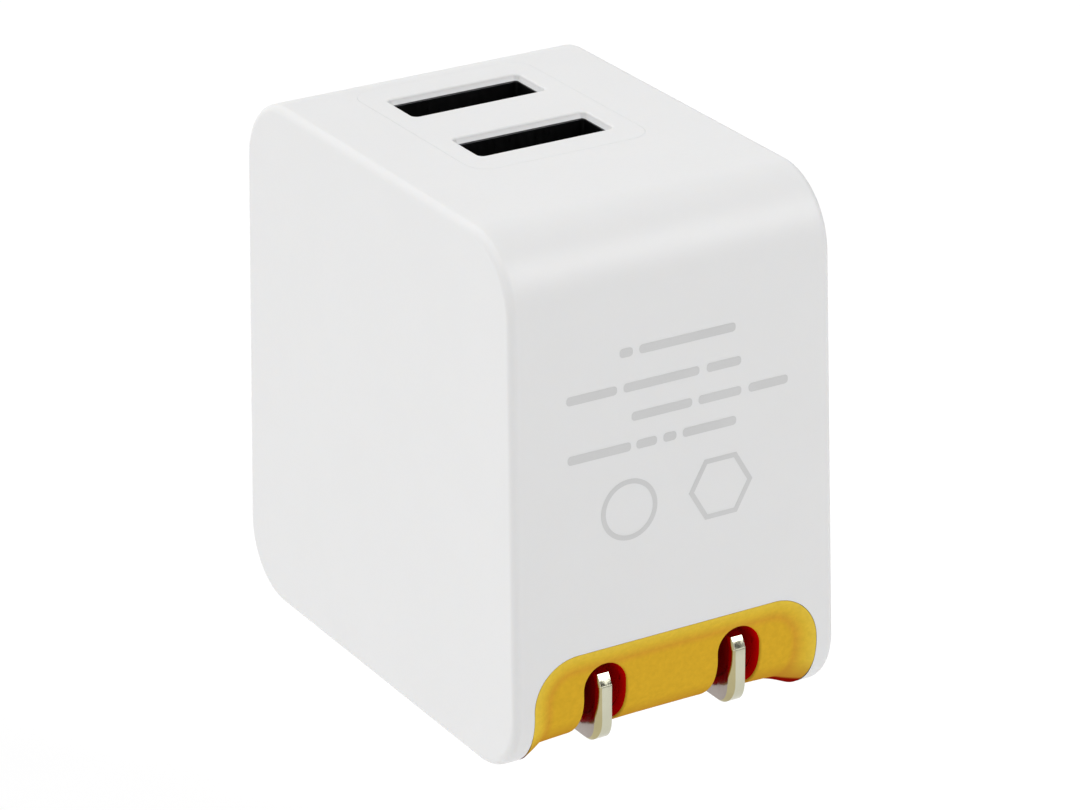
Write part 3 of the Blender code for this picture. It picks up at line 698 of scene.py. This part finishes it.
def build_sockets():
    """Sheet-steel socket shells in a near-black steel that paints the shade inside, with a painted glint on
    the faces at the mouth.
    """
    top = HEIGHT - PORT_RIM - SOCKET_DROP
    edge_z = top - SOCKET_BEVEL
    inside = [side + play for side, play in zip(PORT_MOUTH, SOCKET_PLAY)]
    for name, y in port_places():
        low, _ = node_box(f"usb_shell_{name}")
        profile = (
            (SOCKET_SHEET, low.z),
            (SOCKET_SHEET, edge_z),
            (SOCKET_SHEET - SOCKET_BEVEL, top),
            (SOCKET_BEVEL, top),
            (0.0, edge_z),
            (0.0, low.z),
        )
        rings = [ring_at(port_outline(inside, grow, y), "z", z) for grow, z in profile]
        tube = loft(rings, wrap=True)
        shell = make_object(f"usb_shell_{name}_skin", tube, MATERIALS["socket_steel"], SOCKET_GLINT)
        # Faces above the bevel's start take the painted glint.
        for face in shell.data.polygons:
            face.material_index = int(face.center.z > edge_z * MM)
        soften(shell, 0.0)
        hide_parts(f"usb_shell_{name}")
        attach(shell, "case")


# ---------------------------------------------------------------- base cover

BASE_HALF = OPENING_HALF - SEAM
FRONT_RUN = SCOOP_TOP - SEAM - CORNER_R  # the flat stretch above the bottom rounding
ROUND_RUN = CORNER_R * math.pi / 2
ROUND_Y = CORNER_R - half_depth(CORNER_R)
BASE_RUN = FRONT_RUN + ROUND_RUN + (BASE_BACK_Y - SEAM - ROUND_Y)
SCOOP_RUN = FRONT_RUN + ROUND_RUN + (SCOOP_END_Y - ROUND_Y)


def base_point(x, run, depth):
    """A point of the base cover: run is measured down the front face from the scoop's top
    edge, round the bottom corner and back along the bottom, and depth goes inwards."""
    x += seam_shift(x, run)
    if run < FRONT_RUN:
        z = SCOOP_TOP - SEAM - run
        return (x, -half_depth(z) + depth, z)
    if run < FRONT_RUN + ROUND_RUN:
        angle = (run - FRONT_RUN) / CORNER_R
        radius = CORNER_R - depth
        draft = half_depth(CORNER_R * (1 - math.sin(angle))) - half_depth(CORNER_R)
        return (x, ROUND_Y - draft - radius * math.cos(angle), CORNER_R - radius * math.sin(angle))
    return (x, ROUND_Y + run - FRONT_RUN - ROUND_RUN - FACE_DRAFT * CORNER_R, depth)


def mouth_margin(x, run):
    """How far inside the scoop's mouth a point is."""
    radius = SCOOP_CORNER_R - SEAM
    across = abs(x) - (BASE_HALF - radius)
    above = radius - run
    if across > 0 and above > 0:
        return radius - math.hypot(across, above)
    return min(BASE_HALF - abs(x), run)


def slot_run_top():
    return SCOOP_TOP - SEAM - SLOT_TOP


def slot_run_end():
    return FRONT_RUN + ROUND_RUN + SLOT_BACK_Y - ROUND_Y + FACE_DRAFT * CORNER_R


def slot_margin(x, run):
    """Distance outside the nearer slot's outline, negative inside it."""
    across = abs(abs(x) - BLADE_X)
    arch = slot_run_top() + SLOT_HALF
    if run < arch:
        return math.hypot(across, arch - run) - SLOT_HALF
    return max(across - SLOT_HALF, run - slot_run_end())


def scoop_depth(x, run):
    """The scoop deepens round the bottom corner, then runs out, and is shallower at its ends."""
    low = smooth_step((run - FRONT_RUN) / (SCOOP_DEEPENS * ROUND_RUN))
    depth = SCOOP_DEPTH + (SCOOP_LOW_DEPTH - SCOOP_DEPTH) * low
    run_out = smooth_step((SCOOP_RUN - run) / SCOOP_RUN_OUT)
    return depth * run_out * (1 - SCOOP_END_RISE * (x / BASE_HALF) ** 2)


def scoop_share(x, run):
    """How far down the slope a point is, by the slope's width: 0 at the mouth, 1 at its foot."""
    return mouth_margin(x, run) / SLOPE_WIDTH


def scoop_drop(x, run):
    """A straight slope from the mouth's edge, a soft crease at its foot, then the hollow."""
    share = scoop_share(x, run)
    if share > 1 + SCOOP_CREASE:
        share = 1.0
    elif share > 1 - SCOOP_CREASE:
        share -= (share - 1 + SCOOP_CREASE) ** 2 / (4 * SCOOP_CREASE)
    return scoop_depth(x, run) * share


def surface_drop(x, run):
    """Depth of the base cover's surface below the case's outline."""
    inside = SLOT_EDGE_R - max(slot_margin(x, run), 0.0)
    fillet = SLOT_EDGE_R - math.sqrt(SLOT_EDGE_R**2 - inside**2) if inside > 0 else 0.0
    return scoop_drop(x, run) + fillet


def seam_shift(x, run):
    """How far the cover's edge draws in from the shell beside the lower corners."""
    start, width = LOW_SEAM_RUN
    side = smooth_step((abs(x) - LOW_SEAM_X) / LOW_SEAM_WIDTH)
    low = smooth_step((run - FRONT_RUN - start * ROUND_RUN) / (width * ROUND_RUN))
    return -math.copysign(LOW_SEAM, x) * side * low


def subdivide(points, spacing):
    """Split a closed outline's long sides into steps of about spacing."""
    fine = []
    for index, start in enumerate(points):
        end = points[(index + 1) % len(points)]
        count = max(1, round(math.dist(start, end) / spacing))
        fine += [
            (
                start[0] + (end[0] - start[0]) * step / count,
                start[1] + (end[1] - start[1]) * step / count,
            )
            for step in range(count)
        ]
    return fine


def slot_outline(x, grow=0.0):
    """A slot's outline on the unrolled base, as (x, run), grown evenly by grow."""
    arch = slot_run_top() + SLOT_HALF
    end = slot_run_end() + grow
    points = arc((x, arch), SLOT_HALF + grow, 180, 360, 24)
    points.append((x + SLOT_HALF + grow, end))
    points.append((x - SLOT_HALF - grow, end))
    return subdivide(points, SLOT_SPACING)


def base_outline(inset=0.0):
    """The base cover's own outline on the unrolled surface."""
    radius = SCOOP_CORNER_R - SEAM - inset
    half = BASE_HALF - inset
    points = arc((radius - half, radius + inset), radius, 180, 270, 16)
    points += arc((half - radius, radius + inset), radius, 270, 360, 16)
    points += [(half, BASE_RUN - inset), (-half, BASE_RUN - inset)]
    return subdivide(points, OUTLINE_SPACING)


def base_loops():
    """Closed lines the base cover's mesh follows: its outline, the crease and the slots."""
    loops = [base_outline()]
    for share in (0.5, 1 - SCOOP_CREASE, 1 - SCOOP_CREASE / 3, 1 + SCOOP_CREASE / 3, 1 + SCOOP_CREASE):
        loops.append(base_outline(SLOPE_WIDTH * share))
    fillet_steps = 5
    for x in (-BLADE_X, BLADE_X):
        for step in range(fillet_steps + 1):
            angle = math.radians(90 * step / fillet_steps)
            loops.append(slot_outline(x, SLOT_EDGE_R * (1 - math.cos(angle))))
    return loops


def base_fill():
    """Staggered points that fill the base cover between those lines."""
    points = []
    rows = int(BASE_RUN / BASE_SPACING)
    columns = int(2 * BASE_HALF / BASE_SPACING)
    for row in range(1, rows):
        for column in range(1, columns):
            x = -BASE_HALF + 2 * BASE_HALF * (column + 0.5 * (row % 2)) / columns
            run = BASE_RUN * row / rows
            from_outline = min(mouth_margin(x, run), BASE_RUN - run)
            from_slot = slot_margin(x, run) - SLOT_EDGE_R
            if from_outline > BASE_MARGIN and from_slot > SLOT_MARGIN:
                points.append((x, run))
    return points


def build_base_cover():
    """The scoop's surface is meshed flat as (x, run) and then wrapped onto the case."""
    points = []
    edges = []
    for loop in base_loops():
        first = len(points)
        points += loop
        edges += [(first + i, first + (i + 1) % len(loop)) for i in range(len(loop))]
    points += base_fill()
    flat = geometry.delaunay_2d_cdt([Vector(p) for p in points], edges, [], 0, MERGE_DISTANCE)
    flat_points, triangles = flat[0], flat[2]

    mesh = bmesh.new()
    # The slope's share, kept on each vertex, sets where the cover's light and shade are painted.
    tone = mesh.verts.layers.float.new("scoop_share")
    outer = []
    inner = []
    for x, run in flat_points:
        outer.append(mesh.verts.new(Vector(base_point(x, run, surface_drop(x, run))) * MM))
        outer[-1][tone] = scoop_share(x, run)
        inner.append(mesh.verts.new(Vector(base_point(x, run, BASE_WALL)) * MM))
    open_edges = {}
    for triangle in triangles:
        middle_x = sum(flat_points[i][0] for i in triangle) / 3
        middle_run = sum(flat_points[i][1] for i in triangle) / 3
        if slot_margin(middle_x, middle_run) < 0 or mouth_margin(middle_x, middle_run) < 0:
            continue
        mesh.faces.new([outer[i] for i in triangle])
        mesh.faces.new([inner[i] for i in reversed(triangle)])
        for index, start in enumerate(triangle):
            end = triangle[(index + 1) % 3]
            if (end, start) in open_edges:
                del open_edges[(end, start)]
            else:
                open_edges[(start, end)] = True
    for start, end in open_edges:
        wall = mesh.faces.new((outer[end], outer[start], inner[start], inner[end]))
        # Walls on a slot's outline take the red: painted shade inside the slots.
        if slot_margin(*flat_points[start]) < ON_EDGE:
            wall.material_index = 1
    for vertex in [v for v in mesh.verts if not v.link_faces]:
        mesh.verts.remove(vertex)
    base = make_object("base_cover_skin", mesh, MATERIALS["base_orange"], MATERIALS["well_red"])
    base.data.shade_smooth()
    base.data.set_sharp_from_angle(angle=math.radians(50))
    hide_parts("base_cover")
    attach(base, "case")


def build_prong_wells():
    """Arched channels that carry the slots' walls on inwards, in the red that paints the slots' shade."""
    low = BASE_WALL + WELL_GAP
    front_y = -half_depth(low) + BASE_WALL + WELL_FRONT_GAP
    back_y = PIVOT.y - (PIVOT.z - BLADE_LOW.z) - CAD_GAP
    red = MATERIALS["well_red"]
    for name, side in (("left", -1), ("right", 1)):
        x = side * BLADE_X
        outline = []
        for half, turn in ((SLOT_HALF + WELL_WALL, 1), (SLOT_HALF, -1)):
            arch = [(x + half, low)]
            arch += arc((x, SLOT_TOP - SLOT_HALF), half, 0, 180, 20)
            arch.append((x - half, low))
            outline += arch[::turn]
        well = make_object(f"prong_well_{name}_skin", prism(outline, "y", front_y, back_y), red)
        corner = [(-FAR, WELL_CUT_Z), (-FAR, CORNER_R)]
        corner += arc((ROUND_Y, CORNER_R), CORNER_R - low, 180, 270, 20)
        corner.append((ROUND_Y, WELL_CUT_Z))
        cut(well, make_object("cutter", prism(corner, "x", -CUT_HALF_X, CUT_HALF_X), red))
        soften(well, 0.0)
        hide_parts(f"prong_well_{name}")
        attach(well, "case")


# ---------------------------------------------------------------- blades


def blend(start, end, share):
    """The pair of values that lies between two pairs."""
    return tuple(a + (b - a) * share for a, b in zip(start, end))


def blade_stations():
    """The folded blade's outline as (y, z, chamfer along the flank, chamfer across)."""
    tip = BLADE_LOW.y
    top = BLADE_HIGH.z
    low = BLADE_LOW.z
    heel = PIVOT.z - low
    stations = []
    face = [(tip + back, top - down) for back, down in TIP_FACE]
    face.append((tip, low + TIP_FACE_LOW))
    for index, (y, z) in enumerate(face):
        stations.append((y, z, *blend(*TIP_CHAMFERS, index / (len(face) - 1))))
    radius_y, radius_z = TIP_RADII
    steps = 10
    for step in range(1, steps + 1):
        angle = math.radians(90 * step / steps)
        y = tip + radius_y * (1 - math.cos(angle))
        z = low + radius_z * (1 - math.sin(angle))
        stations.append((y, z, *blend(TIP_CHAMFERS[1], CURVE_CHAMFER, smooth_step(step / steps))))
    for step in range(1, 8):
        y = tip + radius_y + (PIVOT.y - tip - radius_y) * step / 8
        stations.append((y, low, *EDGE_CHAMFER))
    heel_end = math.degrees(math.asin((top - PIVOT.z) / heel))
    for y, z in arc((PIVOT.y, PIVOT.z), heel, -90, heel_end, 20):
        stations.append((y, z, *EDGE_CHAMFER))
    back_y = stations[-1][0]
    for step in range(1, 10):
        stations.append((back_y + (tip + TIP_TOP_START - back_y) * step / 9, top, *EDGE_CHAMFER))
    return stations


def build_blades():
    stations = blade_stations()
    outline = [Vector((y, z)) for y, z, _, _ in stations]
    inward = []
    for index in range(len(outline)):
        along = (outline[(index + 1) % len(outline)] - outline[index - 1]).normalized()
        inward.append(Vector((-along.y, along.x)))
    hole_y = PIVOT.y - (PIVOT.z + HOLE_REACH)
    hole_z = (BLADE_LOW.z + BLADE_HIGH.z) / 2
    nickel = MATERIALS["blade_nickel"]
    for name, side in (("left", -1), ("right", 1)):
        rings = []
        for face, steps in ((-1, CHAMFER_PROFILE), (1, CHAMFER_PROFILE[::-1])):
            for drop, back in steps:
                ring = []
                for (y, z, cut_in, cut_across), normal in zip(stations, inward):
                    place = Vector((y, z)) + normal * cut_in * drop
                    x = side * BLADE_X + face * (BLADE_HALF - cut_across * back)
                    ring.append((x, place.x, place.y))
                rings.append(ring)
        blade = make_object(f"blade_{name}_skin", loft(rings), nickel, BLADE_CHAMFER_REFLECTION, BLADE_FLANK_SHADE)
        # Flanks take the painted shade and chamfers the painted reflection, by how far each face turns
        # sideways.
        for face in blade.data.polygons:
            sideways = abs(face.normal.x)
            face.material_index = (sideways > FLANK_NORMAL) + (sideways > CHAMFER_NORMAL)
        hole = prism(circle(HOLE_R, 40, (hole_y, hole_z)), "x", -CUT_HALF_X, CUT_HALF_X)
        eye = prism(circle(PIVOT_HOLE_R, 40, (PIVOT.y, PIVOT.z)), "x", -CUT_HALF_X, CUT_HALF_X)
        cut(blade, make_object("cutter", hole, nickel), make_object("cutter", eye, nickel))
        blade.data.shade_smooth()
        blade.data.set_sharp_from_angle(angle=math.radians(28))
        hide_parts(f"blade_{name}")
        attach(blade, "prongs")


# ---------------------------------------------------------------- print


def front_print(name, outlines):
    """Thin ink on the front face. Each outline is (x, z) points, with an optional hole."""
    mesh = bmesh.new()
    for outside, hole in outlines:
        steps = [(outside, -INK_SINK), (outside, INK_THICKNESS)]
        if hole:
            steps += [(hole, INK_THICKNESS), (hole, -INK_SINK)]
        rings = [[(x, -half_depth(z) - lift, z) for x, z in loop] for loop, lift in steps]
        loft(rings, wrap=bool(hole), into=mesh)
    ink = make_object(name, mesh, PRINT_GREY)
    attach(ink, "case")


def build_print():
    """Plain bars in rows, with a plain ring and a plain hexagon under them."""
    bars = []
    for middle_z, row in PRINT_ROWS:
        for start, length in row:
            centre = (start + length / 2, middle_z)
            bars.append((rounded_rectangle(length, BAR_HEIGHT, BAR_R, 5, centre), None))
    front_print("print_bars", bars)
    ring = [circle(radius, 64, RING_CENTRE) for radius in RING_RADII]
    front_print("print_ring", [ring])
    hexagon = [circle(radius, 6, HEXAGON_CENTRE) for radius in HEXAGON_RADII]
    front_print("print_hexagon", [hexagon])


# ---------------------------------------------------------------- the rest


def dress_cad_nodes():
    """Every CAD node that stays gets its slot's detailed material."""
    for part in frame["record"]["subparts"]:
        node = frame["nodes"][part["node"]]
        material = MATERIALS[part["material_slot"]]
        for index in range(len(node.material_slots)):
            node.material_slots[index].material = material
        if not node.material_slots:
            node.data.materials.append(material)


# ---------------------------------------------------------------- studio


def build_floor():
    """A white light table, low enough for the open blades to stay above it."""
    material, tree, shader = new_material("studio_floor")
    vector = object_coordinates(tree)
    tone = remap(tree, noise(tree, vector, FLOOR_GRAIN), 0.0, 1.0)
    mixed = mix_colours(tree, tone, *FLOOR_TONES)
    tree.links.new(mixed, shader.inputs["Base Color"])
    shader.inputs["Roughness"].default_value = 0.9
    shader.inputs["Specular IOR Level"].default_value = 0.0
    shader.inputs["Emission Color"].default_value = (1.0, 1.0, 1.0, 1.0)
    shader.inputs["Emission Strength"].default_value = FLOOR_GLOW
    mesh = bmesh.new()
    half = FLOOR_HALF * MM
    corners = ((-half, -half), (half, -half), (half, half), (-half, half))
    mesh.faces.new([mesh.verts.new((x, y, 0.0)) for x, y in corners])
    floor = make_object("studio_floor", mesh, material)
    floor.location.z = (SHELL_LOW.z - FLOOR_DROP) * MM


def area_light(name, direction, side, power):
    """A square light that shines on the case from the given direction."""
    towards = Vector(direction).normalized()
    data = bpy.data.lights.new(name, "AREA")
    data.shape = "SQUARE"
    data.size = side * MM
    data.energy = power
    light = bpy.data.objects.new(name, data)
    bpy.context.scene.collection.objects.link(light)
    light.location = (Vector(LIGHT_TARGET) + towards * LIGHT_DISTANCE) * MM
    light.rotation_mode = "QUATERNION"
    light.rotation_quaternion = (-towards).to_track_quat("-Z", "Y")


def build_lights():
    """A surround that is palest at the back on the left, and the soft lights in front and above."""
    world = bpy.data.worlds.new("studio")
    bpy.context.scene.world = world
    world.use_nodes = True
    tree = world.node_tree
    source = tree.nodes.new("ShaderNodeTexCoord")
    blend = tree.nodes.new("ShaderNodeVectorMath")
    blend.operation = "DOT_PRODUCT"
    blend.inputs[1].default_value = SKY_TILT
    tree.links.new(source.outputs["Generated"], blend.inputs[0])
    level = tree.nodes.new("ShaderNodeMath")
    level.operation = "ADD"
    level.inputs[1].default_value = SKY_LEVEL
    tree.links.new(blend.outputs["Value"], level.inputs[0])
    at_least = tree.nodes.new("ShaderNodeMath")
    at_least.operation = "MAXIMUM"
    at_least.inputs[1].default_value = SKY_LEAST
    tree.links.new(level.outputs[0], at_least.inputs[0])
    background = tree.nodes["Background"]
    background.inputs["Color"].default_value = (1.0, 1.0, 1.0, 1.0)
    tree.links.new(at_least.outputs[0], background.inputs["Strength"])
    for light in LIGHTS:
        area_light(*light)


def build_camera():
    """A long lens above and to the left of the printed front."""
    azimuth, elevation, roll = (math.radians(angle) for angle in CAMERA_ANGLES)
    back = Vector(
        (
            math.sin(azimuth) * math.cos(elevation),
            -math.cos(azimuth) * math.cos(elevation),
            math.sin(elevation),
        )
    )
    level_right = Vector((math.cos(azimuth), math.sin(azimuth), 0.0))
    level_up = back.cross(level_right)
    right = math.cos(roll) * level_right + math.sin(roll) * level_up
    up = -math.sin(roll) * level_right + math.cos(roll) * level_up
    data = bpy.data.cameras.new("photo_camera")
    data.sensor_width = CAMERA_SENSOR
    data.lens = CAMERA_LENS
    data.clip_start = CAMERA_CLIP * MM
    camera = bpy.data.objects.new("photo_camera", data)
    bpy.context.scene.collection.objects.link(camera)
    to_right, upwards, backwards = CAMERA_OFFSET
    place = (to_right * right + upwards * up + backwards * back) * MM
    turn = Matrix((right, up, back)).transposed().to_4x4()
    camera.matrix_world = Matrix.Translation(place) @ turn
    bpy.context.scene.camera = camera
    bpy.context.scene.view_settings.view_transform = "Standard"


dress_cad_nodes()
build_shell()
build_port_panel()
build_sockets()
build_base_cover()
build_prong_wells()
build_blades()
build_print()
build_floor()
build_lights()
build_camera()
